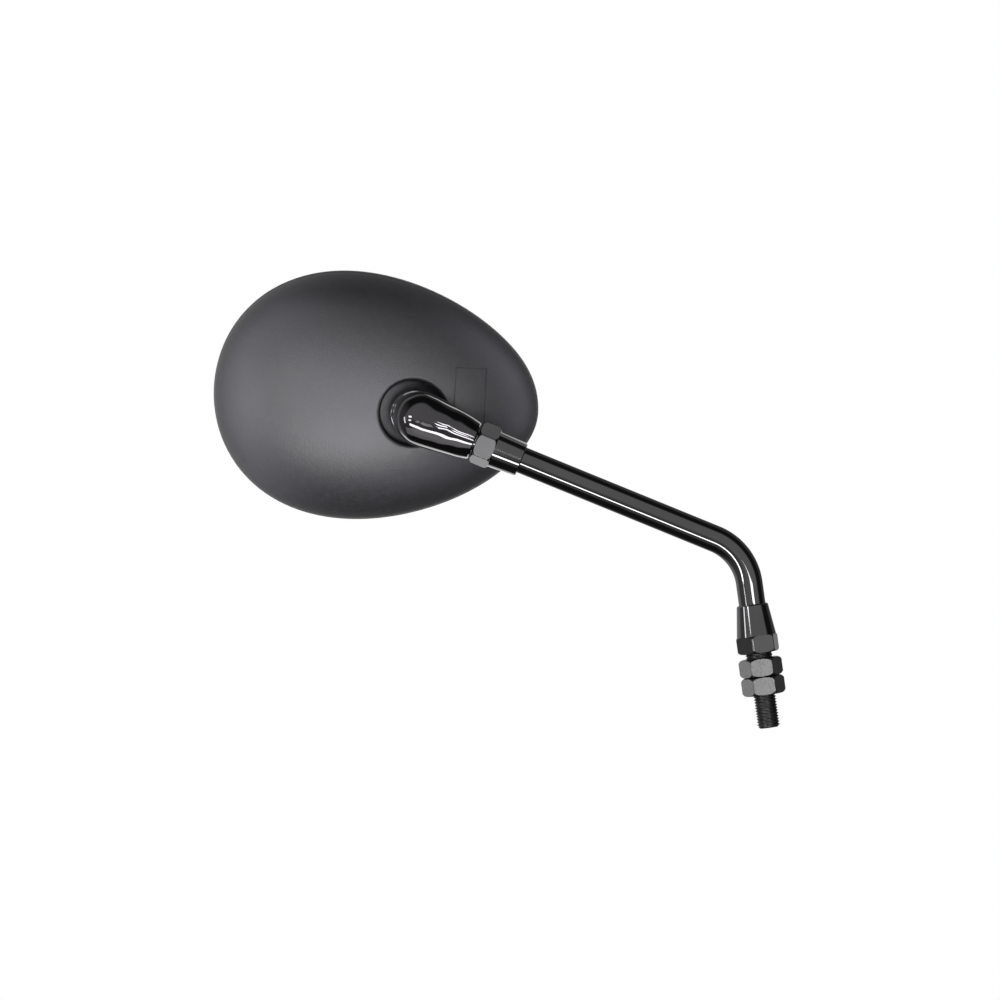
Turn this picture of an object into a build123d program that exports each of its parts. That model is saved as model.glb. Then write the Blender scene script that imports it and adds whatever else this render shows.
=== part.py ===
from build123d import *
import math
import os

# A right-hand motorcycle mirror. The origin is on the stud's axis at the lower jam nut's seat,
# Z runs up the stud, and the back of the shell faces -Y. All lengths are millimetres.

# Stem
stem_dia = 12.0
stem_bend_radius = 25.0
stem_rise = 30.0
stem_corner_height = 64.7
stem_upper_run = 156.5
stud_dia = 10.0
stud_free_length = 14.8
stud_tip_chamfer = 1.0
thread_height = 0.8
stud_in_knuckle = 17.0
stud_end_gap = 1.0

# Nuts
hex_sides = 6
across_flats = 17.0
nut_round = 2.3
hex_corner_round = 0.7
jam_nut_height = 8.2
stack_gap = 0.1
neck_length = 2.2
taper_hex_height = 7.8
taper_hex_turn = 14.5
taper_skirt_height = 14.0
taper_skirt_base_dia = 17.8
taper_skirt_top_dia = 14.2
lock_hex_height = 9.0
lock_hex_turn = -7.5
lock_skirt_height = 13.0
lock_skirt_base_dia = 16.8
lock_skirt_top_dia = 15.6
skirt_clearance = 0.45
skirt_edge_round = 0.4
thread_clearance = 0.05

# Knuckle
knuckle_dome_radius = 12.2
knuckle_reach = 26.4
knuckle_end_dia = 17.6
knuckle_side_radius = 150.0
knuckle_end_chamfer = 0.6
knuckle_nut_gap = 0.5
knuckle_base_dia = 22.4
knuckle_base_height = 2.4
knuckle_base_round = 0.9
knuckle_waist_dia = 19.2
waist_round = 1.5

# Ball joint
neck_yaw = 11.0
neck_pitch = -11.4
ball_to_knuckle = 24.0
ball_dia = 14.0
ball_stud_dia = 8.0
ball_stud_end_gap = 3.0
liner_thickness = 1.15
running_clearance = 0.05
pan_tilt_limit = 10.0
mouth_margin = 2.0
seat_wall = 2.0
base_clearance = 1.1
floor_clearance = 1.4
recess_clearance = 1.0
recess_round = 1.6
recess_floor = 2.2
recess_tube_wall = 2.3
front_liner_end = 80.0
rear_liner_start = 100.0
cup_start = 116.0
cup_base = 1.9
cup_clearance = 0.1
spring_height = 1.3
spring_thickness = 0.6
spring_bore_dia = 8.4
spring_clearance = 0.25
retainer_thickness = 1.5
retainer_edge = 1.5
tower_wall = 2.7
screw_count = 3
screw_dia = 3.0
screw_length = 9.0
screw_hole_extra = 1.0
screw_head_dia = 6.0
screw_head_height = 2.0
screw_driver_dia = 2.6
screw_driver_depth = 1.2
screw_boss_wall = 1.8
rib_count = 6
rib_thickness = 1.6
rib_reach = 16.0

# Head
head_yaw = -4.0
head_nod = 5.0
egg_lean = -13.0
egg_length = 149.0
egg_height = 111.8
egg_taper = 0.177
egg_points = 16
rim_height = 7.0
rim_step = 0.5
rim_round = 0.45
rim_wall = 1.8
dome_height = 36.6
dome_fullness = 2.3
dome_angles = (0, 18, 36, 52, 66, 77, 84, 88)
shell_wall = 3.0
ball_along = 18.0
ball_across = -2.2
ball_height = 32.7
glass_radius = 1400.0
glass_thickness = 2.0
glass_set_back = 0.8
pocket_depth = 6.0
gasket_thickness = 1.0
gasket_clearance = 0.05
gasket_lip = 2.2
gasket_lip_thickness = 1.0

# Derived sizes of the stem and nuts
stem_radius = stem_dia / 2
stud_radius = stud_dia / 2
thread_radius = stud_radius - thread_height / 2
nut_corner = across_flats / 2 / math.cos(math.pi / hex_sides)
nut_core = nut_corner - nut_round
lower_jam_top = jam_nut_height
upper_jam_base = lower_jam_top + stack_gap
upper_jam_top = upper_jam_base + jam_nut_height
stem_foot = upper_jam_top + stack_gap
taper_hex_base = stem_foot + neck_length
taper_hex_top = taper_hex_base + taper_hex_height
taper_skirt_top = taper_hex_top + taper_skirt_height
knuckle_end = stem_upper_run - knuckle_reach
lock_hex_end = knuckle_end - knuckle_nut_gap
lock_hex_base = lock_hex_end - lock_hex_height
lock_skirt_start = lock_hex_base - lock_skirt_height
stem_shoulder = lock_hex_base + skirt_clearance
stud_end = knuckle_end + stud_in_knuckle

# Derived sizes of the ball joint
ball_radius = ball_dia / 2
liner_inner = ball_radius + running_clearance
liner_outer = liner_inner + liner_thickness
seat_inner = liner_outer + running_clearance
seat_outer = seat_inner + seat_wall
full_tilt = math.degrees(math.acos(math.cos(math.radians(pan_tilt_limit)) ** 2))
tilt_sin = math.sin(math.radians(full_tilt))
tilt_cos = math.cos(math.radians(full_tilt))
ball_stud_radius = ball_stud_dia / 2
neck_half_angle = math.degrees(math.asin(ball_stud_radius / ball_radius))
mouth_angle = neck_half_angle + full_tilt + mouth_margin
base_radius = knuckle_base_dia / 2
base_bottom = seat_outer * math.cos(math.radians(mouth_angle - full_tilt)) + base_clearance
base_top = base_bottom + knuckle_base_height
floor_top = base_bottom * tilt_cos - base_radius * tilt_sin - floor_clearance
recess_radius = base_radius * tilt_cos + base_top * tilt_sin + recess_clearance
tower_radius = seat_inner + tower_wall
cup_bottom = -(seat_inner + cup_base)
tower_end = cup_bottom - spring_height
retainer_end = tower_end - retainer_thickness
screw_radius = screw_dia / 2
screw_boss_radius = screw_radius + screw_boss_wall
screw_circle = tower_radius + screw_boss_radius - screw_boss_wall / 2
retainer_radius = screw_circle + screw_head_dia / 2 + retainer_edge
tower_top = ball_to_knuckle
ball_stud_end = ball_to_knuckle - ball_stud_end_gap
floor_angle = math.degrees(math.acos(floor_top / seat_outer))
bead_centre = base_radius - knuckle_base_round
bead_low = base_bottom + knuckle_base_round
bead_high = base_top - knuckle_base_round
waist_blend = bead_centre - knuckle_waist_dia / 2

# Derived sizes of the head
dome_length = egg_length - 2 * rim_step
dome_width = egg_height - 2 * rim_step
gasket_outer = rim_wall + gasket_clearance
gasket_inner = gasket_outer + gasket_thickness
# The spheres of the glass lie on their sides, so that no pole falls within the glass
on_its_side = (90, 0, 0)
lip_sag = (egg_height / 2 - gasket_outer - gasket_lip) ** 2 / (2 * glass_radius)
gasket_front = glass_set_back + lip_sag - gasket_lip_thickness - 2 * gasket_clearance
glass_inset = gasket_inner + gasket_clearance

# Directions, centres, axes and planes
rise = math.radians(stem_rise)
stem_direction = Vector(-math.cos(rise), 0, math.sin(rise))
stem_side = Vector(math.sin(rise), 0, math.cos(rise))
stem_corner = Vector(0, 0, stem_corner_height)
knuckle_centre = stem_corner + stem_direction * stem_upper_run
yaw = math.radians(neck_yaw)
pitch = math.radians(neck_pitch)
neck_direction = Vector(
    math.sin(yaw) * math.cos(pitch), -math.cos(yaw) * math.cos(pitch), math.sin(pitch)
)
neck_side = neck_direction.cross(Vector(0, 0, 1)).normalized()
ball_centre = knuckle_centre - neck_direction * ball_to_knuckle
head_turn = math.radians(head_yaw)
nod = math.radians(head_nod)
head_level = Vector(math.sin(head_turn), -math.cos(head_turn), 0)
head_right = Vector(math.cos(head_turn), math.sin(head_turn), 0)
head_normal = head_level * math.cos(nod) - Vector(0, 0, 1) * math.sin(nod)
head_up = head_level * math.sin(nod) + Vector(0, 0, 1) * math.cos(nod)
lean = math.radians(egg_lean)
egg_long = head_right * math.cos(lean) + head_up * math.sin(lean)
egg_across = head_normal.cross(egg_long)
head_centre = ball_centre - egg_long * ball_along - egg_across * ball_across - head_normal * ball_height

stud_axis = Axis.Z
stud_section = Plane.XZ
stem_axis = Axis(stem_corner, stem_direction)
stem_section = Plane(stem_corner, x_dir=stem_side, z_dir=stem_side.cross(stem_direction))
stem_cross = Plane(stem_corner, x_dir=stem_side, z_dir=stem_direction)
neck_axis = Axis(ball_centre, neck_direction)
neck_section = Plane(ball_centre, x_dir=neck_side, z_dir=neck_side.cross(neck_direction))
neck_cross = Plane(ball_centre, x_dir=neck_side, z_dir=neck_direction)
head_plane = Plane(head_centre, x_dir=egg_long, z_dir=head_normal)
head_axis = Axis(head_centre, head_normal)


def egg(length, height):
    """Points of the shell's egg-shaped outline, blunt at one end of its length and narrow at the other."""
    turns = [2 * math.pi * step / egg_points for step in range(egg_points)]
    return [
        (length / 2 * math.cos(t), height / 2 * math.sin(t) * (1 - egg_taper * math.cos(t))) for t in turns
    ]


def egg_inset(inset):
    """The outline moved in from the rim's outside by about one inset all round."""
    return egg(egg_length - 2 * inset, egg_height - 2 * inset)


def polar(radius, angle):
    """A point on a circle round the ball's centre, as (radius, height), at an angle from the neck."""
    return radius * math.sin(math.radians(angle)), radius * math.cos(math.radians(angle))


def dome_sections(length, height, depth, base):
    """Planes and outlines of a dome that closes over an egg along a full, flat-topped curve."""
    for angle in dome_angles:
        level = math.sin(math.radians(angle))
        share = (1 - level**2) ** (1 / dome_fullness)
        yield head_plane.offset(base + depth * level), egg(length * share, height * share)


def edge_arc(height, start, end, way):
    """Three points of the rounding at a nut's end, between two angles from the corner's side."""
    angles = [math.radians(angle) for angle in (start, (start + end) / 2, end)]
    return [(nut_core + nut_round * math.cos(a), height + way * nut_round * math.sin(a)) for a in angles]


def jam_nut(base):
    """A hexagon nut on the stud, turned round at both ends."""
    top = base + jam_nut_height
    bore = thread_radius + thread_clearance
    with BuildPart() as nut:
        with BuildSketch(Plane.XY.offset(base)) as hexagon:
            RegularPolygon(nut_corner, hex_sides)
            fillet(hexagon.vertices(), hex_corner_round)
        extrude(amount=jam_nut_height)
        with BuildSketch(stud_section):
            with BuildLine():
                lower_arc = ThreePointArc(*edge_arc(base + nut_round, -90, 0, 1))
                upper_arc = ThreePointArc(*edge_arc(top - nut_round, 0, 90, 1))
                Line(lower_arc @ 1, upper_arc @ 0)
                Polyline(
                    upper_arc @ 1,
                    (bore + thread_height, top),
                    (bore, top - thread_height),
                    (bore, base + thread_height),
                    (bore + thread_height, base),
                    lower_arc @ 0,
                )
            make_face()
        revolve(axis=stud_axis, mode=Mode.INTERSECT)
    return nut


def skirted_nut(hex_plane, section, axis, base, hex_height, turn, skirt_dias, skirt_end, bores, step):
    """A hexagon nut turned in one piece with a conical skirt that runs along the stem."""
    way = math.copysign(1, skirt_end - base)
    hex_end = base + way * hex_height
    wide, narrow = skirt_dias[0] / 2, skirt_dias[1] / 2
    round_in = narrow - skirt_edge_round
    skirt_angle = math.acos((wide - nut_core) / nut_round)
    shoulder = hex_end - way * nut_round * math.sin(skirt_angle)
    with BuildPart() as nut:
        with BuildSketch(hex_plane.offset(min(base, hex_end))) as hexagon:
            RegularPolygon(nut_corner, hex_sides, rotation=turn)
            fillet(hexagon.vertices(), hex_corner_round)
        extrude(amount=hex_height)
        with BuildSketch(section):
            with BuildLine():
                face_arc = ThreePointArc(*edge_arc(base + way * nut_round, -90, 0, way))
                shoulder_arc = ThreePointArc(*edge_arc(shoulder, 0, math.degrees(skirt_angle), way))
                Line(face_arc @ 1, shoulder_arc @ 0)
                Polyline(shoulder_arc @ 1, (0, hex_end), (0, base), face_arc @ 0)
            make_face()
        revolve(axis=axis, mode=Mode.INTERSECT)
        with BuildSketch(section):
            with BuildLine():
                Polyline(
                    (0, hex_end),
                    (wide, hex_end),
                    (narrow, skirt_end - way * skirt_edge_round),
                    (round_in, skirt_end),
                    (0, skirt_end),
                    close=True,
                )
            make_face()
        revolve(axis=axis)
        with BuildSketch(section):
            with BuildLine():
                Polyline(
                    (0, base),
                    (bores[0], base),
                    (bores[0], step),
                    (bores[1], step),
                    (bores[1], skirt_end),
                    (0, skirt_end),
                    close=True,
                )
            make_face()
        revolve(axis=axis, mode=Mode.SUBTRACT)
    return nut


# Stem: a bent rod whose ends are turned down to the stud size
with BuildPart() as stem:
    with BuildLine():
        FilletPolyline(
            (0, 0, stem_foot),
            stem_corner,
            stem_corner + stem_direction * stem_shoulder,
            radius=stem_bend_radius,
        )
    with BuildSketch(Plane.XY.offset(stem_foot)):
        Circle(stem_radius)
    sweep()
    with BuildSketch(stud_section):
        with BuildLine():
            Polyline(
                (0, stem_foot),
                (thread_radius, stem_foot),
                (thread_radius, 0),
                (stud_radius, 0),
                (stud_radius, stud_tip_chamfer - stud_free_length),
                (stud_radius - stud_tip_chamfer, -stud_free_length),
                (0, -stud_free_length),
                close=True,
            )
        make_face()
    revolve(axis=stud_axis)
    with BuildSketch(stem_section):
        with BuildLine():
            Polyline(
                (0, stem_shoulder),
                (stud_radius, stem_shoulder),
                (stud_radius, stud_end - stud_tip_chamfer),
                (stud_radius - stud_tip_chamfer, stud_end),
                (0, stud_end),
                close=True,
            )
        make_face()
    revolve(axis=stem_axis)

# Nuts, from the stud's foot upwards
lower_jam_nut = jam_nut(0)
upper_jam_nut = jam_nut(upper_jam_base)
taper_lock_nut = skirted_nut(
    Plane.XY,
    stud_section,
    stud_axis,
    taper_hex_base,
    taper_hex_height,
    taper_hex_turn,
    (taper_skirt_base_dia, taper_skirt_top_dia),
    taper_skirt_top,
    (stem_radius + thread_clearance, stem_radius + skirt_clearance),
    taper_hex_top,
)
upper_lock_nut = skirted_nut(
    stem_cross,
    stem_section,
    stem_axis,
    lock_hex_end,
    lock_hex_height,
    lock_hex_turn,
    (lock_skirt_base_dia, lock_skirt_top_dia),
    lock_skirt_start,
    (stud_radius + thread_clearance, stem_radius + skirt_clearance),
    stem_shoulder + skirt_clearance,
)

# Knuckle: a domed barrel along the stem with a waisted, beaded foot along the ball's neck
dome_start = stem_upper_run + knuckle_dome_radius
end_radius = knuckle_end_dia / 2
side_reach = knuckle_reach - knuckle_end_chamfer
side_span = math.hypot(side_reach, end_radius)
side_offset = knuckle_side_radius - knuckle_dome_radius
tangent_angle = math.atan2(end_radius, side_reach) + math.acos(
    (knuckle_side_radius**2 - side_offset**2 - side_span**2) / (2 * side_span * side_offset)
)
side_angle = (math.pi + tangent_angle) / 2
with BuildPart() as knuckle:
    with BuildSketch(stem_section):
        with BuildLine():
            dome_arc = ThreePointArc(
                (0, dome_start),
                (
                    knuckle_dome_radius * math.sin(side_angle),
                    stem_upper_run - knuckle_dome_radius * math.cos(side_angle),
                ),
                (
                    knuckle_dome_radius * math.sin(tangent_angle),
                    stem_upper_run - knuckle_dome_radius * math.cos(tangent_angle),
                ),
            )
            side_arc = RadiusArc(
                dome_arc @ 1, (end_radius, knuckle_end + knuckle_end_chamfer), knuckle_side_radius
            )
            Polyline(
                side_arc @ 1,
                (end_radius - knuckle_end_chamfer, knuckle_end),
                (0, knuckle_end),
                (0, dome_start),
            )
        make_face()
    revolve(axis=stem_axis)
    with BuildSketch(neck_section):
        with BuildLine():
            lower_round = CenterArc((bead_centre, bead_low), knuckle_base_round, -90, 90)
            upper_round = CenterArc((bead_centre, bead_high), knuckle_base_round, 0, 90)
            waist_arc = CenterArc((bead_centre, base_top + waist_blend), waist_blend, -90, -90)
            Line(lower_round @ 1, upper_round @ 0)
            Polyline(
                waist_arc @ 1,
                (knuckle_waist_dia / 2, ball_to_knuckle),
                (0, ball_to_knuckle),
                (0, base_bottom),
                lower_round @ 0,
            )
        make_face()
    revolve(axis=neck_axis)
    waist_wall = knuckle.faces().filter_by(GeomType.CYLINDER).sort_by(SortBy.RADIUS)[0]
    waist_edges = waist_wall.edges().filter_by(GeomType.LINE, reverse=True).sort_by(neck_axis)
    fillet(waist_edges[1:], waist_round)
    with BuildSketch(stem_cross.offset(knuckle_end)):
        Circle(stud_radius + thread_clearance)
    extrude(amount=stud_in_knuckle + stud_end_gap, mode=Mode.SUBTRACT)
    with BuildSketch(neck_cross.offset(base_bottom)):
        Circle(ball_stud_radius + thread_clearance)
    extrude(amount=ball_stud_end + stud_end_gap - base_bottom, mode=Mode.SUBTRACT)

# Ball stud: a ball on a threaded neck that screws into the knuckle
with BuildPart() as ball_stud:
    with BuildSketch(neck_section):
        with BuildLine():
            ball_arc = ThreePointArc(
                (0, -ball_radius), (ball_radius, 0), polar(ball_radius, neck_half_angle)
            )
            Polyline(
                ball_arc @ 1,
                (ball_stud_radius, ball_stud_end - stud_tip_chamfer),
                (ball_stud_radius - stud_tip_chamfer, ball_stud_end),
                (0, ball_stud_end),
                (0, -ball_radius),
            )
        make_face()
    revolve(axis=neck_axis)


def liner(start, end):
    """A nylon shell that lies round the ball between two angles from its neck."""
    angles = (start, (start + end) / 2, end)
    with BuildPart() as shell:
        with BuildSketch(neck_section):
            with BuildLine():
                inside = ThreePointArc(*(polar(liner_inner, angle) for angle in angles))
                outside = ThreePointArc(*(polar(liner_outer, angle) for angle in angles))
                Line(inside @ 0, outside @ 0)
                Line(inside @ 1, outside @ 1)
            make_face()
        revolve(axis=neck_axis)
    return shell


front_ball_seat = liner(mouth_angle, front_liner_end)
rear_ball_seat = liner(rear_liner_start, 180)

# Pressure cup: slides in the seat tower and bears on the rear liner
cup_radius = seat_inner - cup_clearance
with BuildPart() as pressure_cup:
    with BuildSketch(neck_section):
        with BuildLine():
            hollow = ThreePointArc(
                polar(seat_inner, cup_start), polar(seat_inner, (cup_start + 180) / 2), (0, -seat_inner)
            )
            Polyline(
                hollow @ 1,
                (0, cup_bottom),
                (cup_radius, cup_bottom),
                (cup_radius, polar(seat_inner, cup_start)[1]),
                hollow @ 0,
            )
        make_face()
    revolve(axis=neck_axis)

# Disc spring: a conical washer between the cup and the retainer
with BuildPart() as disc_spring:
    with BuildSketch(neck_section):
        with BuildLine():
            Polyline(
                (spring_bore_dia / 2, cup_bottom),
                (spring_bore_dia / 2, cup_bottom - spring_thickness),
                (seat_inner - spring_clearance, tower_end),
                (seat_inner - spring_clearance, tower_end + spring_thickness),
                close=True,
            )
        make_face()
    revolve(axis=neck_axis)

# Retainer: a pressed plate that closes the tower, held by screws in its bosses
with BuildPart() as spring_retainer:
    with BuildSketch(neck_cross.offset(retainer_end)):
        Circle(retainer_radius)
        Circle(spring_bore_dia / 2, mode=Mode.SUBTRACT)
        with PolarLocations(screw_circle, screw_count):
            Circle(screw_radius + thread_clearance, mode=Mode.SUBTRACT)
    extrude(amount=retainer_thickness)

with BuildPart() as retainer_screws:
    with BuildSketch(neck_cross.offset(retainer_end)):
        with PolarLocations(screw_circle, screw_count):
            Circle(screw_head_dia / 2)
    extrude(amount=-screw_head_height)
    with BuildSketch(neck_cross.offset(retainer_end)):
        with PolarLocations(screw_circle, screw_count):
            Circle(screw_radius)
    extrude(amount=screw_length)
    with BuildSketch(neck_cross.offset(retainer_end - screw_head_height)):
        with PolarLocations(screw_circle, screw_count):
            RegularPolygon(screw_driver_dia / 2, hex_sides)
    extrude(amount=screw_driver_depth, mode=Mode.SUBTRACT)

# Shell: the outer dome on its beaded rim
with BuildPart() as dome:
    with BuildSketch(head_plane):
        with BuildLine():
            Spline(*egg_inset(0), periodic=True)
        make_face()
    extrude(amount=rim_height)
    fillet(dome.faces().sort_by(head_axis)[-1].edges(), rim_round)
    for plane, outline in dome_sections(dome_length, dome_width, dome_height, rim_height - rim_round):
        with BuildSketch(plane):
            with BuildLine():
                Spline(*outline, periodic=True)
            make_face()
    loft()

# Seat tower, screw bosses and ribs, trimmed to the dome
with BuildPart() as tower:
    with BuildSketch(neck_cross.offset(tower_end)):
        Circle(tower_radius)
        with PolarLocations(screw_circle, screw_count):
            Circle(screw_boss_radius)
    extrude(amount=tower_top - tower_end)
    with BuildSketch(neck_cross.offset(floor_top - recess_floor)):
        Circle(recess_radius + recess_tube_wall)
    extrude(amount=tower_top - floor_top + recess_floor)
    with BuildSketch(neck_cross.offset(floor_top - recess_floor)):
        with PolarLocations(recess_radius, rib_count):
            Rectangle(rib_reach, rib_thickness, align=(Align.MIN, Align.CENTER))
    extrude(amount=tower_top - floor_top + recess_floor)
    add(dome.part, mode=Mode.INTERSECT)

with BuildPart() as mirror_housing:
    add(dome.part)
    for plane, outline in dome_sections(
        dome_length - 2 * shell_wall,
        dome_width - 2 * shell_wall,
        dome_height + rim_height - rim_round - pocket_depth - shell_wall,
        pocket_depth,
    ):
        with BuildSketch(plane):
            with BuildLine():
                Spline(*outline, periodic=True)
            make_face()
    loft(mode=Mode.SUBTRACT)
    with BuildSketch(head_plane):
        with BuildLine():
            Spline(*egg_inset(rim_wall), periodic=True)
        make_face()
    extrude(amount=pocket_depth, mode=Mode.SUBTRACT)
    add(tower.part)
    with BuildSketch(neck_section):
        with BuildLine():
            seat_arc = ThreePointArc(
                (seat_inner, 0), polar(seat_inner, (mouth_angle + 90) / 2), polar(seat_inner, mouth_angle)
            )
            shoulder_arc = ThreePointArc(
                polar(seat_outer, mouth_angle),
                polar(seat_outer, (mouth_angle + floor_angle) / 2),
                polar(seat_outer, floor_angle),
            )
            Line(seat_arc @ 1, shoulder_arc @ 0)
            Polyline(
                shoulder_arc @ 1,
                (recess_radius, floor_top),
                (recess_radius, tower_top),
                (0, tower_top),
                (0, tower_end),
                (seat_inner, tower_end),
                seat_arc @ 0,
            )
        make_face()
    revolve(axis=neck_axis, mode=Mode.SUBTRACT)
    with BuildSketch(neck_cross.offset(tower_end)):
        with PolarLocations(screw_circle, screw_count):
            Circle(screw_radius + thread_clearance)
    extrude(amount=screw_length - retainer_thickness + screw_hole_extra, mode=Mode.SUBTRACT)
    round_walls = mirror_housing.faces().filter_by(GeomType.CYLINDER)
    recess_walls = round_walls.filter_by(lambda wall: math.isclose(wall.radius, recess_radius))
    fillet(recess_walls.edges().filter_by(GeomType.BSPLINE), recess_round)

# Glass and what holds it in the rim
with BuildPart() as glass_rim_gasket:
    with BuildSketch(head_plane.offset(gasket_front)):
        with BuildLine():
            Spline(*egg_inset(gasket_outer), periodic=True)
        make_face()
        with BuildLine():
            Spline(*egg_inset(gasket_inner), periodic=True)
        make_face(mode=Mode.SUBTRACT)
    extrude(amount=pocket_depth - gasket_front)
    with BuildSketch(head_plane.offset(gasket_front)):
        with BuildLine():
            Spline(*egg_inset(gasket_outer), periodic=True)
        make_face()
        with BuildLine():
            Spline(*egg_inset(gasket_outer + gasket_lip), periodic=True)
        make_face(mode=Mode.SUBTRACT)
    extrude(amount=gasket_lip_thickness)

with BuildPart() as mirror_glass:
    with BuildSketch(head_plane):
        with BuildLine():
            Spline(*egg_inset(glass_inset), periodic=True)
        make_face()
    extrude(amount=pocket_depth)
    with Locations(head_plane.offset(glass_set_back + glass_radius)):
        Sphere(glass_radius, rotation=on_its_side, mode=Mode.INTERSECT)
        Sphere(glass_radius - glass_thickness, rotation=on_its_side, mode=Mode.SUBTRACT)

with BuildPart() as glass_backing_pad:
    with BuildSketch(head_plane):
        with BuildLine():
            Spline(*egg_inset(glass_inset), periodic=True)
        make_face()
    extrude(amount=pocket_depth)
    with Locations(head_plane.offset(glass_set_back + glass_radius)):
        Sphere(glass_radius - glass_thickness - gasket_clearance, rotation=on_its_side, mode=Mode.INTERSECT)

pieces = {
    "mirror_housing": mirror_housing,
    "mirror_glass": mirror_glass,
    "glass_backing_pad": glass_backing_pad,
    "glass_rim_gasket": glass_rim_gasket,
    "front_ball_seat": front_ball_seat,
    "rear_ball_seat": rear_ball_seat,
    "pressure_cup": pressure_cup,
    "disc_spring": disc_spring,
    "spring_retainer": spring_retainer,
    "retainer_screws": retainer_screws,
    "ball_stud": ball_stud,
    "knuckle": knuckle,
    "stem": stem,
    "upper_lock_nut": upper_lock_nut,
    "taper_lock_nut": taper_lock_nut,
    "upper_jam_nut": upper_jam_nut,
    "lower_jam_nut": lower_jam_nut,
}
os.makedirs("parts", exist_ok=True)
for name, piece in pieces.items():
    piece.part.label = name
    export_step(piece.part, f"parts/{name}.step")
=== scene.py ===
import math
import bpy
from mathutils import Matrix, Vector
from mathutils.bvhtree import BVHTree


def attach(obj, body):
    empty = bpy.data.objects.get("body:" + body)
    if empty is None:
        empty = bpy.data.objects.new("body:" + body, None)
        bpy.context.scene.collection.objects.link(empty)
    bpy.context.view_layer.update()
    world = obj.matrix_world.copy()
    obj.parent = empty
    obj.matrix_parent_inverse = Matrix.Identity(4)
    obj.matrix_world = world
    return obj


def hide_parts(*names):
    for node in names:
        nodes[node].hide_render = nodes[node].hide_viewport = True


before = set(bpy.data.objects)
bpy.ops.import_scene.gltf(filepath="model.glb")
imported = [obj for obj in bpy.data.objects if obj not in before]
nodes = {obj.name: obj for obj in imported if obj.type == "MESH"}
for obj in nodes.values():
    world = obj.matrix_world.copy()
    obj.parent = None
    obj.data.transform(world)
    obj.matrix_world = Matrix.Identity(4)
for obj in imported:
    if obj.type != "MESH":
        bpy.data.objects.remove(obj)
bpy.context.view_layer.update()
scene = bpy.context.scene
scene.view_settings.view_transform = "Standard"

# Finishes: the stretch of a noise that is used, and how fine the noise is
NOISE_LOW = 0.3
NOISE_HIGH = 0.7
TONE_DETAIL = 5.0
BUMP_DETAIL = 0.5
# Painted shade: how open to its surroundings (ambient occlusion) a surface is where its gloss begins and
# where it is full
PAINTED_SHADE_FULL_BELOW = 0.46
PAINTED_SHADE_NONE_ABOVE = 0.62


def noise(tree, place, scale, detail):
    """Noise in a piece's own coordinates."""
    made = tree.nodes.new("ShaderNodeTexNoise")
    made.inputs["Scale"].default_value = scale
    made.inputs["Detail"].default_value = detail
    tree.links.new(place, made.inputs["Vector"])
    return made.outputs["Fac"]


def ranged(tree, source, low, high, first, last, curve="LINEAR"):
    """A value's stretch from low to high, made to run from first to last."""
    made = tree.nodes.new("ShaderNodeMapRange")
    made.interpolation_type = curve
    for key, value in {"From Min": low, "From Max": high, "To Min": first, "To Max": last}.items():
        made.inputs[key].default_value = value
    tree.links.new(source, made.inputs["Value"])
    return made.outputs["Result"]


def material(
    name, colour, spread, grain, rough,
    metallic=0.0, specular=0.5, bump=0.0, bump_scale=1500.0, bump_depth=0.0002, painted_shade_reach=0.0,
):
    """A finish whose tone, gloss and surface vary with noise, and whose gloss can be taken away as painted
    shade in hollows and next to other parts.
    """
    made = bpy.data.materials.new(name)
    made.use_nodes = True
    tree = made.node_tree
    shader = tree.nodes["Principled BSDF"]
    shader.inputs["Metallic"].default_value = metallic
    shader.inputs["Specular IOR Level"].default_value = specular
    place = tree.nodes.new("ShaderNodeTexCoord").outputs["Object"]
    tone = noise(tree, place, grain, TONE_DETAIL)
    ramp = tree.nodes.new("ShaderNodeValToRGB")
    dark, light = ramp.color_ramp.elements
    dark.position = NOISE_LOW
    light.position = NOISE_HIGH
    dark.color = [c * (1 - spread) for c in colour] + [1]
    light.color = [min(1.0, c * (1 + spread)) for c in colour] + [1]
    tree.links.new(tone, ramp.inputs["Fac"])
    tree.links.new(ramp.outputs["Color"], shader.inputs["Base Color"])
    tree.links.new(ranged(tree, tone, NOISE_LOW, NOISE_HIGH, *rough), shader.inputs["Roughness"])
    if painted_shade_reach:
        # Painted shade: ambient occlusion takes the gloss away in recesses and next to other parts
        painted_shade_occlusion = tree.nodes.new("ShaderNodeAmbientOcclusion")
        painted_shade_occlusion.inputs["Distance"].default_value = painted_shade_reach
        gloss = ranged(tree, painted_shade_occlusion.outputs["AO"], PAINTED_SHADE_FULL_BELOW, PAINTED_SHADE_NONE_ABOVE, 0.0, specular)
        tree.links.new(gloss, shader.inputs["Specular IOR Level"])
    if bump:
        relief = tree.nodes.new("ShaderNodeBump")
        relief.inputs["Strength"].default_value = bump
        relief.inputs["Distance"].default_value = bump_depth
        tree.links.new(noise(tree, place, bump_scale, BUMP_DETAIL), relief.inputs["Height"])
        tree.links.new(relief.outputs["Normal"], shader.inputs["Normal"])
    return made


# The shell's gloss is cut by painted shade within 16 mm of its ball recess and of the knuckle
shell_plastic = material(
    "shell_plastic", (0.0155, 0.0155, 0.017), 0.18, 420.0, (0.42, 0.48),
    specular=0.9, bump=0.4, bump_scale=1900.0, painted_shade_reach=0.016,
)
mirror_silver = material("mirror_silver", (0.86, 0.87, 0.88), 0.015, 60.0, (0.008, 0.02), metallic=1.0)
foam = material("foam", (0.05, 0.05, 0.05), 0.3, 1500.0, (0.85, 0.95), bump=0.5, bump_scale=1200.0)
rubber = material("rubber", (0.018, 0.018, 0.018), 0.2, 300.0, (0.55, 0.68), bump=0.12)
nylon = material("nylon", (0.66, 0.65, 0.6), 0.05, 200.0, (0.38, 0.46), bump=0.05)
zinc = material("zinc", (0.55, 0.55, 0.56), 0.12, 260.0, (0.26, 0.38), metallic=1.0, bump=0.04)
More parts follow.
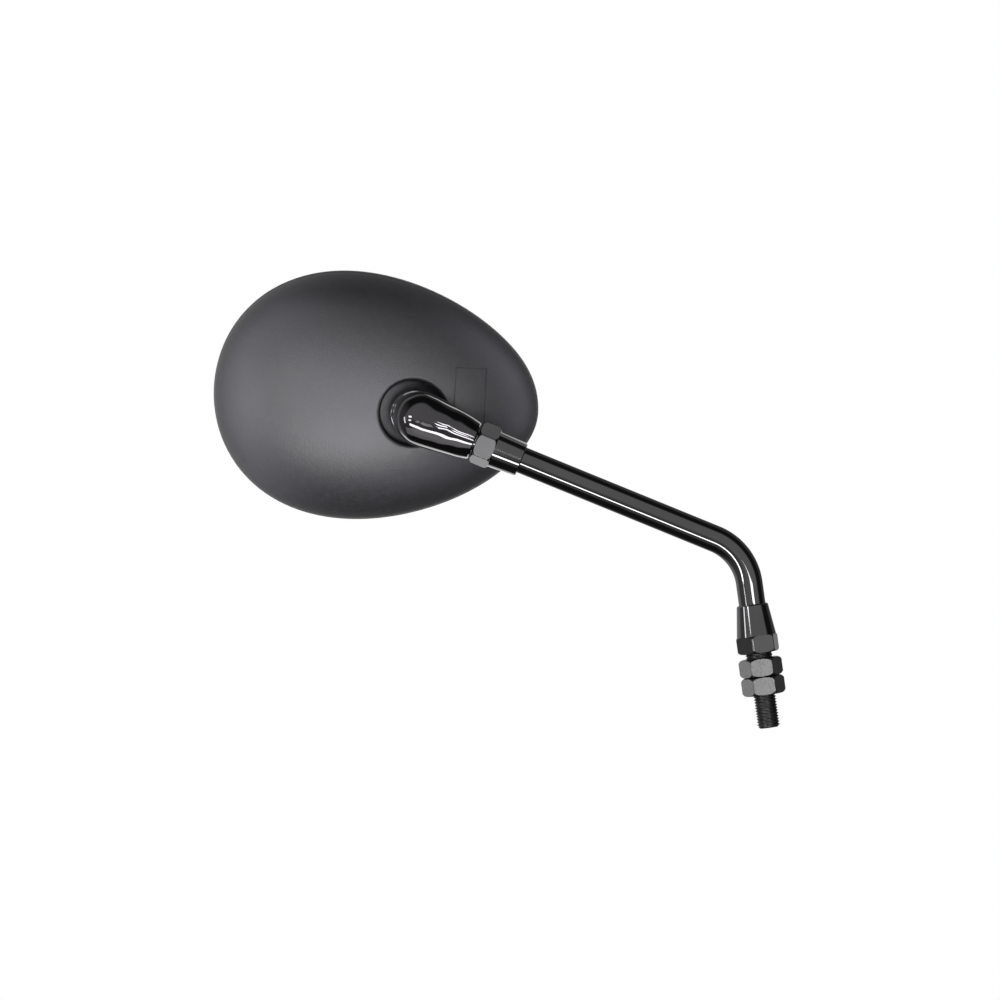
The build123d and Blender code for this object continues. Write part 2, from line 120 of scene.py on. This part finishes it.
black_chrome = material("black_chrome", (0.162, 0.159, 0.164), 0.05, 90.0, (0.03, 0.06), metallic=1.0)
cast_chrome = material(
    "cast_chrome", (0.125, 0.12, 0.127), 0.08, 90.0, (0.03, 0.06),
    metallic=1.0, bump=1.0, bump_scale=85.0, bump_depth=0.0012,
)
dark_steel = material(
    "dark_steel", (0.16, 0.158, 0.16), 0.2, 900.0, (0.3, 0.38),
    metallic=1.0, bump=0.08, bump_scale=900.0,
)
black_oxide = material(
    "black_oxide", (0.12, 0.12, 0.122), 0.25, 500.0, (0.34, 0.42),
    metallic=1.0, bump=0.05,
)
pale_floor = material("pale_floor", (0.82, 0.82, 0.82), 0.02, 3.0, (0.8, 0.9))

FINISH = {
    "mirror_housing": shell_plastic,
    "mirror_glass": mirror_silver,
    "glass_backing_pad": foam,
    "glass_rim_gasket": rubber,
    "front_ball_seat": nylon,
    "rear_ball_seat": nylon,
    "pressure_cup": nylon,
    "disc_spring": zinc,
    "spring_retainer": zinc,
    "retainer_screws": zinc,
    "ball_stud": zinc,
    "knuckle": cast_chrome,
    "stem": black_chrome,
    "upper_lock_nut": black_chrome,
    "taper_lock_nut": black_chrome,
    "upper_jam_nut": dark_steel,
    "lower_jam_nut": dark_steel,
}
for name, finish in FINISH.items():
    nodes[name].data.materials.clear()
    nodes[name].data.materials.append(finish)


def mesh_object(name, points, faces, finishes):
    """A new object in the scene, made of points and faces."""
    mesh = bpy.data.meshes.new(name)
    mesh.from_pydata(points, [], faces)
    for finish in finishes:
        mesh.materials.append(finish)
    mesh.update()
    made = bpy.data.objects.new(name, mesh)
    scene.collection.objects.link(made)
    return made


# The stem's sizes in metres, as in the CAD. Heights are above the seat of the lower jam nut
ROD = 0.006  # radius of the rod
STUD = 0.005  # radius of its turned ends
STUD_LENGTH = 0.0148  # of the free stud below the jam nuts
CHAMFER = 0.001  # at both ends
ENGAGED = 0.0046  # radius inside the jam nuts
FOOT = 0.0166  # height where the rod begins, above the jam nuts
NECK_END = 0.0188  # height where the rod's thread ends
CORNER = 0.0647  # height where the two straight runs would meet
BEND = 0.025  # radius of the bend between them
RISE = math.radians(30)  # of the upper run
SHOULDER = 0.12105  # from the corner to the upper turned end
STUD_END = 0.1471  # from the corner to the stem's end

# The stem's threads, which the CAD leaves plain
PITCH = 0.00125
THREAD_DEPTH = 0.0006
NECK_DEPTH = 0.00045
CREST = 0.16  # share of the pitch that is a flat crest
FLANK = 0.66  # share of the pitch that slopes
RUN_OUT = 0.0002  # from the end of the rod's thread to the full rod

# The stem's mesh
RING = 96
TURNS = [2 * math.pi * step / RING for step in range(RING)]
PITCH_STEPS = 14
BEND_STEPS = 48
SEAM = 0.00001  # between two rings where the radius jumps
SHARP = math.radians(42)  # edges from this angle up stay sharp
CHROME_SLOT = 0
OXIDE_SLOT = 1


def groove(height, turn, depth):
    """How deep a thread's groove is at a height along its axis and a turn round it."""
    phase = (height / PITCH - turn / (2 * math.pi)) % 1.0
    off_crest = abs(phase - 0.5) * 2
    return depth * min(1.0, max(0.0, (off_crest - CREST) / FLANK))


def stud_radius(height, turn):
    """The stud's radius, cut by its thread and by the chamfer at its tip."""
    chamfered = STUD - CHAMFER + (height + STUD_LENGTH)
    return min(STUD - groove(height, turn, THREAD_DEPTH), chamfered)


def add_ring(rings, centre, along, radii, slot):
    """Adds one ring of the stem, square to its path."""
    side = Vector((0, 1, 0))
    other = along.cross(side)
    points = []
    for turn, radius in zip(TURNS, radii):
        points.append(centre + (other * math.cos(turn) + side * math.sin(turn)) * radius)
    rings.append((points, slot))


def add_foot(rings):
    """The threaded stud, the stretch inside the jam nuts and the rod's short thread."""
    up = Vector((0, 0, 1))
    count = round(STUD_LENGTH / PITCH * PITCH_STEPS)
    for step in range(count + 1):
        z = -STUD_LENGTH + STUD_LENGTH * step / count
        add_ring(rings, up * z, up, [stud_radius(z, turn) for turn in TURNS], OXIDE_SLOT)
    for z in (SEAM, FOOT):
        add_ring(rings, up * z, up, [ENGAGED] * RING, OXIDE_SLOT)
    count = round((NECK_END - FOOT) / PITCH * PITCH_STEPS)
    for step in range(count + 1):
        z = FOOT + SEAM + (NECK_END - FOOT) * step / count
        add_ring(rings, up * z, up, [ROD - groove(z, turn, NECK_DEPTH) for turn in TURNS], OXIDE_SLOT)
    add_ring(rings, up * (NECK_END + RUN_OUT), up, [ROD] * RING, CHROME_SLOT)


def add_bend(rings):
    """The round bend between the two straight runs."""
    bend_angle = math.pi / 2 - RISE
    pivot = Vector((-BEND, 0, CORNER - BEND * math.tan(bend_angle / 2)))
    for step in range(BEND_STEPS + 1):
        angle = bend_angle * step / BEND_STEPS
        centre = pivot + Vector((math.cos(angle), 0, math.sin(angle))) * BEND
        along = Vector((-math.sin(angle), 0, math.cos(angle)))
        add_ring(rings, centre, along, [ROD] * RING, CHROME_SLOT)


def add_upper_run(rings):
    """The upper run with its shoulder, its turned end and that end's chamfer."""
    along = Vector((-math.cos(RISE), 0, math.sin(RISE)))
    corner = Vector((0, 0, CORNER))
    steps = (
        (SHOULDER, ROD),
        (SHOULDER, STUD),
        (STUD_END - CHAMFER, STUD),
        (STUD_END, STUD - CHAMFER),
    )
    for reach, radius in steps:
        add_ring(rings, corner + along * reach, along, [radius] * RING, CHROME_SLOT)


def tube(name, rings, finishes):
    """A closed tube through rings of points."""
    points = [point for ring, _ in rings for point in ring]
    faces = []
    slots = []
    for i in range(len(rings) - 1):
        for j in range(RING):
            k = (j + 1) % RING
            faces.append((i * RING + j, i * RING + k, (i + 1) * RING + k, (i + 1) * RING + j))
            slots.append(rings[i + 1][1])
    faces.append(tuple(range(RING))[::-1])
    slots.append(rings[0][1])
    faces.append(tuple(range((len(rings) - 1) * RING, len(rings) * RING)))
    slots.append(rings[-1][1])
    made = mesh_object(name, points, faces, finishes)
    made.data.polygons.foreach_set("material_index", slots)
    made.data.polygons.foreach_set("use_smooth", [True] * len(faces))
    made.data.set_sharp_from_angle(angle=SHARP)
    made.data.update()
    return made


stem_rings = []
add_foot(stem_rings)
add_bend(stem_rings)
add_upper_run(stem_rings)
threaded_stem = tube("threaded_stem", stem_rings, [black_chrome, black_oxide])
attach(threaded_stem, "stem")
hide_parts("stem")

# A plain raised frame on the shell's back, where a moulding's marks sit. Its corners are x and z
FRAME_CORNERS = ((-0.1166, 0.1639), (-0.1031, 0.1618), (-0.1077, 0.1365), (-0.1213, 0.1384))
FRAME_HALF = 0.00024
FRAME_RISE = 0.00025
FRAME_STEPS = 40  # along each side
FRAME_SECTION = ((-1.0, -0.2), (-0.5, 1.0), (0.5, 1.0), (1.0, -0.2))  # in half widths and rises
BEFORE_SHELL = -0.1  # a y on the camera's side of the shell


def shell_point(tree, x, z):
    """The shell's surface and its normal, as met from the camera's side."""
    spot, normal, _, _ = tree.ray_cast(Vector((x, BEFORE_SHELL, z)), Vector((0, 1, 0)))
    return spot, normal if normal.y < 0 else -normal


def raised_frame():
    """A thin strip that follows the shell's surface round the frame's corners."""
    shell = nodes["mirror_housing"]
    tree = BVHTree.FromPolygons(
        [shell.matrix_world @ vertex.co for vertex in shell.data.vertices],
        [polygon.vertices for polygon in shell.data.polygons],
    )
    corners = [Vector(corner) for corner in FRAME_CORNERS]
    centre = sum(corners, Vector((0, 0))) / len(corners)
    loop = []
    for here, there in zip(corners, corners[1:] + corners[:1]):
        loop += [here.lerp(there, step / FRAME_STEPS) for step in range(FRAME_STEPS)]
    points = []
    for spot in loop:
        out = (spot - centre).normalized()
        for across, lift in FRAME_SECTION:
            moved = spot + out * (across * FRAME_HALF)
            surface, normal = shell_point(tree, moved.x, moved.y)
            points.append(surface + normal * (lift * FRAME_RISE))
    row = len(FRAME_SECTION)
    faces = []
    for i in range(len(loop)):
        k = (i + 1) % len(loop)
        for j in range(row - 1):
            faces.append((i * row + j, i * row + j + 1, k * row + j + 1, k * row + j))
    return mesh_object("shell_frame", points, faces, [shell_plastic])


shell_frame = raised_frame()
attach(shell_frame, "head")

# Camera
EYE = Vector((-0.1052, -2.0, 0.1021))
RIGHT = Vector((0.9907, 0, -0.1357))
UP = Vector((0.1357, 0, 0.9907))
BACK = RIGHT.cross(UP)
SENSOR = 36.0
LENS = 161.3
FARTHEST = 50.0


def placing(right, up, back, spot):
    """The matrix of an object, from its three axes and its spot."""
    return Matrix((
        (right.x, up.x, back.x, spot.x),
        (right.y, up.y, back.y, spot.y),
        (right.z, up.z, back.z, spot.z),
        (0, 0, 0, 1),
    ))


camera_data = bpy.data.cameras.new("camera")
camera_data.sensor_width = SENSOR
camera_data.lens = LENS
camera_data.clip_end = FARTHEST
camera = bpy.data.objects.new("camera", camera_data)
camera.matrix_world = placing(RIGHT, UP, BACK, EYE)
scene.collection.objects.link(camera)
scene.camera = camera

# Floor, white to the camera and left out of reflections
FLOOR_REACH = 4.0
FLOOR_LEVEL = -0.9
floor_corners = []
for x, y in ((-1, -1), (1, -1), (1, 1), (-1, 1)):
    floor_corners.append((x * FLOOR_REACH, y * FLOOR_REACH, FLOOR_LEVEL))
floor = mesh_object("floor", floor_corners, [(0, 1, 2, 3)], [pale_floor])
floor.visible_glossy = False
floor_tree = pale_floor.node_tree
floor_shader = floor_tree.nodes["Principled BSDF"]
floor_shader.inputs["Emission Color"].default_value = (1, 1, 1, 1)
floor_path = floor_tree.nodes.new("ShaderNodeLightPath")
floor_tree.links.new(floor_path.outputs["Is Camera Ray"], floor_shader.inputs["Emission Strength"])

# Lamps, placed by angles from the camera's axis as the camera sees them
CENTRE = Vector((-0.12, 0.0, 0.12))
CLOSE = 0.6
USUAL = 1.3
DISTANT = 3.0
WATTS = 4.0  # per square metre of a lamp with a radiance of 1
SHELL_TINT = (0.93, 0.905, 1.04)


def lamp(name, lit, azimuth, elevation, wide, high, radiance, spin=0.0, distance=USUAL):
    """A soft box that fills an angle as seen from the object and lights some pieces.

    Azimuth is + to the right and elevation + upwards, all angles in degrees.
    """
    a = math.radians(azimuth)
    e = math.radians(elevation)
    way = RIGHT * (math.sin(a) * math.cos(e)) + UP * math.sin(e) + BACK * (math.cos(a) * math.cos(e))
    side = UP.cross(way).normalized()
    data = bpy.data.lights.new(name, "AREA")
    data.shape = "RECTANGLE"
    data.size = 2 * distance * math.tan(math.radians(wide / 2))
    data.size_y = 2 * distance * math.tan(math.radians(high / 2))
    data.energy = WATTS * data.size * data.size_y * radiance
    made = bpy.data.objects.new(name, data)
    turned = Matrix.Rotation(math.radians(spin), 4, "Z")
    made.matrix_world = placing(side, way.cross(side), way, CENTRE + way * distance) @ turned
    made.visible_camera = False
    made.light_linking.receiver_collection = lit
    scene.collection.objects.link(made)
    return made


def some_pieces(name, pieces):
    """A collection of pieces, for a lamp to light or to leave out."""
    made = bpy.data.collections.new(name)
    for piece in pieces:
        made.objects.link(piece)
    return made


# Soft boxes that the metal mirrors. The glass and the stem are left out
studio_light = some_pieces("studio_light", [nodes["mirror_glass"], threaded_stem])
for entry in studio_light.collection_objects:
    entry.light_linking.link_state = "EXCLUDE"
lamp("left_high", studio_light, -38, 8.5, 14, 7, 7.0)
lamp("left_mid", studio_light, -41, -7.5, 12, 6, 6.0)
lamp("left_strip", studio_light, -68, -6, 8, 24, 4.0)
lamp("low_strip", studio_light, -18, -35, 52, 9, 8.0, spin=-18)
lamp("right_high", studio_light, 19, 9, 14, 5, 7.0, distance=DISTANT)
lamp("right_mid", studio_light, 13, -1, 12, 5, 8.0, distance=DISTANT)
lamp("right_low", studio_light, 11, -13, 14, 6, 7.0, distance=DISTANT)

# The stem's own boxes, a long strip below it and a window on its right
stem_light = some_pieces("stem_light", [threaded_stem])
lamp("stem_strip", stem_light, -29, -27, 54, 8, 8.0, spin=-27)
lamp("stem_window", stem_light, 17, -6, 17, 13, 6.0, distance=DISTANT)

# Wide boxes that only the satin shell catches
shell_light = some_pieces("shell_light", [nodes["mirror_housing"], shell_frame])
for box in (
    lamp("shell_front", shell_light, -10, -17, 32, 20, 3.7),
    lamp("shell_mid", shell_light, -18, 12, 40, 26, 0.7),
    lamp("shell_left", shell_light, -83, -2, 46, 66, 1.15),
    lamp("shell_left_high", shell_light, -70, 46, 44, 30, 0.8),
    lamp("shell_left_low", shell_light, -100, -46, 50, 30, 0.5),
    lamp("shell_right", shell_light, 90, 0, 50, 60, 0.75),
    lamp("shell_right_high", shell_light, 92, 42, 40, 32, 0.78),
    lamp("shell_low", shell_light, 34, -62, 60, 30, 0.65),
):
    box.data.color = SHELL_TINT

# Dim boxes for the flats of the nuts
NUTS = ("upper_lock_nut", "taper_lock_nut", "upper_jam_nut", "lower_jam_nut")
metal_light = some_pieces("metal_light", [nodes["knuckle"]] + [nodes[name] for name in NUTS])
lamp("metal_front", metal_light, -7, -14, 12, 9, 0.9)
lock_light = some_pieces("lock_light", [nodes["upper_lock_nut"]])
lamp("nut_top", lock_light, 127, 63, 18, 18, 0.3)
lamp("nut_behind", lock_light, 180, 0, 104, 104, 0.8, distance=CLOSE)
lamp("nut_skirt", lock_light, 4, -3, 16, 12, 0.2)
taper_light = some_pieces("taper_light", [nodes["taper_lock_nut"]])
lamp("taper_front", taper_light, 32, 2, 12, 12, 0.14)
lamp("taper_right", taper_light, 152, 1, 24, 24, 0.2)
jam_light = some_pieces("jam_light", [nodes["upper_jam_nut"], nodes["lower_jam_nut"]])
lamp("foot_left", jam_light, -118, -10, 44, 44, 0.55)

# The knuckle's own boxes. The one behind it draws its outline, and the shell does not shade it
knuckle_light = some_pieces("knuckle_light", [nodes["knuckle"]])
lamp("knuckle_low", knuckle_light, -24, -55, 84, 28, 0.5)
outline = lamp("knuckle_behind", knuckle_light, 180, 0, 104, 104, 1.5, distance=CLOSE)
outline.light_linking.blocker_collection = knuckle_light

# Surroundings: white to the camera, an even fill, and a graded studio that only reflections show
WHITE = 1.0
FILL = 0.25
FRONT_LOW = 0.22
FRONT_HIGH = 0.46
RING_DARK = 0.03
RING_LEFT = 0.2
SIDE_RIGHT = 0.15
SIDE_LEFT = 0.55
SIDE_LOW = 0.05
world = bpy.data.worlds.new("studio")
scene.world = world
world.use_nodes = True
sky = world.node_tree
background = sky.nodes["Background"]
background.inputs["Color"].default_value = (1, 1, 1, 1)
direction = sky.nodes.new("ShaderNodeTexCoord").outputs["Generated"]
path = sky.nodes.new("ShaderNodeLightPath")


def towards(axis):
    """How far a direction points along an axis, from -1 to 1."""
    made = sky.nodes.new("ShaderNodeVectorMath")
    made.operation = "DOT_PRODUCT"
    made.inputs[1].default_value = axis
    sky.links.new(direction, made.inputs[0])
    return made.outputs["Value"]


def graded(source, low, high, first=0.0, last=1.0):
    """A smooth step between two levels as a value goes from low to high."""
    return ranged(sky, source, low, high, first, last, curve="SMOOTHSTEP")


def blended(factor, first, last):
    """A mix of two levels, each a number or a socket."""
    made = sky.nodes.new("ShaderNodeMix")
    sky.links.new(factor, made.inputs["Factor"])
    for socket, value in (("A", first), ("B", last)):
        if isinstance(value, float):
            made.inputs[socket].default_value = value
        else:
            sky.links.new(value, made.inputs[socket])
    return made.outputs["Result"]


away = towards(-BACK)
upwards = towards(UP)
leftwards = towards(-RIGHT)
# From the camera's side to the far side: the front, a dark ring, the sides and white behind
front = graded(upwards, -0.3, 0.0, FRONT_LOW, FRONT_HIGH)
ring = graded(leftwards, 0.5, 0.95, RING_DARK, RING_LEFT)
near = blended(graded(away, -0.55, -0.35), front, ring)
sides = blended(graded(upwards, -0.8, -0.5), SIDE_LOW, graded(leftwards, -0.3, 0.7, SIDE_RIGHT, SIDE_LEFT))
far = blended(graded(away, 0.93, 0.98), sides, WHITE)
studio = blended(graded(away, 0.2, 0.4), near, far)
reflected = sky.nodes.new("ShaderNodeMath")
reflected.operation = "MAXIMUM"
sky.links.new(path.outputs["Is Glossy Ray"], reflected.inputs[0])
sky.links.new(path.outputs["Is Transmission Ray"], reflected.inputs[1])
level = blended(reflected.outputs["Value"], FILL, studio)
sky.links.new(blended(path.outputs["Is Camera Ray"], level, WHITE), background.inputs["Strength"])
